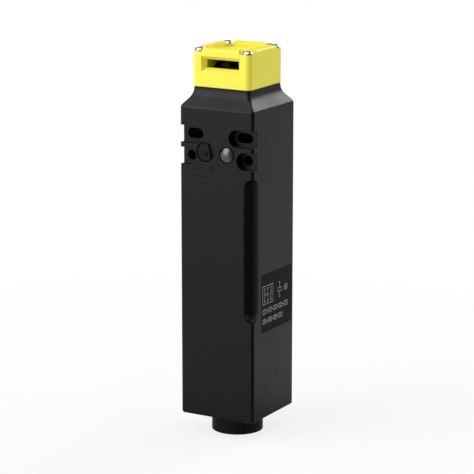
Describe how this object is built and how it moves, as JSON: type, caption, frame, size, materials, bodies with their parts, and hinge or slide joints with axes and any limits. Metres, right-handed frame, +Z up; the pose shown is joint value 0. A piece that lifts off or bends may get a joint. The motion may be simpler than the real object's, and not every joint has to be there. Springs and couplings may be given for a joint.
{
  "type": "tongue interlock switch",
  "caption": "Guard interlock switch with a tongue-operated cam head, a spring-loaded contact block, a solenoid guard lock, a manual release dial and a screwed wiring cover.",
  "frame": {"origin": "centre of the conduit entry's mouth at the lowest face, on the body's centre line", "axes": "+Z up along the body to the yellow head, -Y out of the front face with the tongue's slot, the release dial and the lamp, +Y out of the mounting face, +X out of the side with the label"},
  "size_m": [0.043, 0.0439, 0.2027],
  "materials": {
    "body_plastic": "black moulded glass-filled plastic, fine spark texture",
    "head_plastic": "yellow moulded plastic, satin",
    "seal_rubber": "soft black sealing rubber",
    "zinc_steel": "bright zinc-plated steel",
    "steel": "turned steel",
    "cam_plastic": "black glass-filled nylon",
    "spring_steel": "drawn spring wire",
    "nylon": "natural white nylon",
    "grey_plastic": "grey moulded plastic",
    "terminal_plastic": "green terminal plastic",
    "clear_plastic": "smoky translucent lens",
    "led_plastic": "clear diode body",
    "copper": "enamelled copper winding",
    "contact_brass": "contact brass with silver buttons",
    "board": "green circuit board",
    "label_film": "dark printed film"
  },
  "bodies": {
    "switch": {"body_housing": "body_plastic", "head_housing": "head_plastic", "head_gasket": "seal_rubber", "head_screws": "zinc_steel", "rating_label": "label_film", "cam_shaft": "steel", "cam_bearing_caps": "nylon", "rod_guide": "nylon", "rod_seals": "seal_rubber", "switch_block_base": "grey_plastic", "switch_block_cover": "grey_plastic", "fixed_contacts": "contact_brass", "module_screws": "zinc_steel", "solenoid_yoke": "zinc_steel", "solenoid_bobbin": "nylon", "solenoid_coil": "copper", "solenoid_tube": "contact_brass", "solenoid_pole": "steel", "indicator_lens": "clear_plastic", "indicator_gasket": "seal_rubber", "indicator_led": "led_plastic", "indicator_board": "board", "main_board": "board", "terminal_block": "terminal_plastic", "terminal_clamps": "zinc_steel", "terminal_screws": "zinc_steel", "wiring_cover": "body_plastic", "wiring_cover_gasket": "seal_rubber", "wiring_cover_screws": "zinc_steel"},
    "cam": {"operating_cam": "cam_plastic", "locking_disc": "steel"},
    "plunger": {"operating_plunger": "steel", "door_carrier": "nylon", "door_bridges": "contact_brass", "plunger_spring": "spring_steel"},
    "lock": {"lock_rod": "steel", "release_arm": "grey_plastic", "lock_carrier": "nylon", "lock_bridges": "contact_brass", "armature": "steel", "armature_rod": "steel", "armature_spring": "spring_steel"},
    "release": {"release_dial": "body_plastic", "release_seal": "seal_rubber", "release_clip": "spring_steel", "release_crank": "steel"}
  },
  "joints": [
    {"name": "cam_turn", "type": "hinge", "parent": "switch", "child": "cam", "pos_m": [0, 0.001, 0.1882], "axis": [-1, 0, 0], "range_deg": [0, 60]},
    {"name": "plunger_slide", "type": "slide", "parent": "switch", "child": "plunger", "axis": [0, 0, -1], "range_m": [0, 0.003], "stiffness_N_per_m": 150, "springref_m": -0.002, "deforming": ["plunger_spring"]},
    {"name": "lock_slide", "type": "slide", "parent": "switch", "child": "lock", "axis": [0, 0, 1], "range_m": [0, 0.0035], "stiffness_N_per_m": 200, "springref_m": -0.003, "deforming": ["armature_spring"]},
    {"name": "release_turn", "type": "hinge", "parent": "switch", "child": "release", "pos_m": [-0.0064, -0.0215, 0.1505], "axis": [0, -1, 0], "range_deg": [-60, 0]}
  ],
  "couplings": [
    {"joint": "cam_turn", "follows": "plunger_slide", "rad_per_m": 349.06}
  ]
}
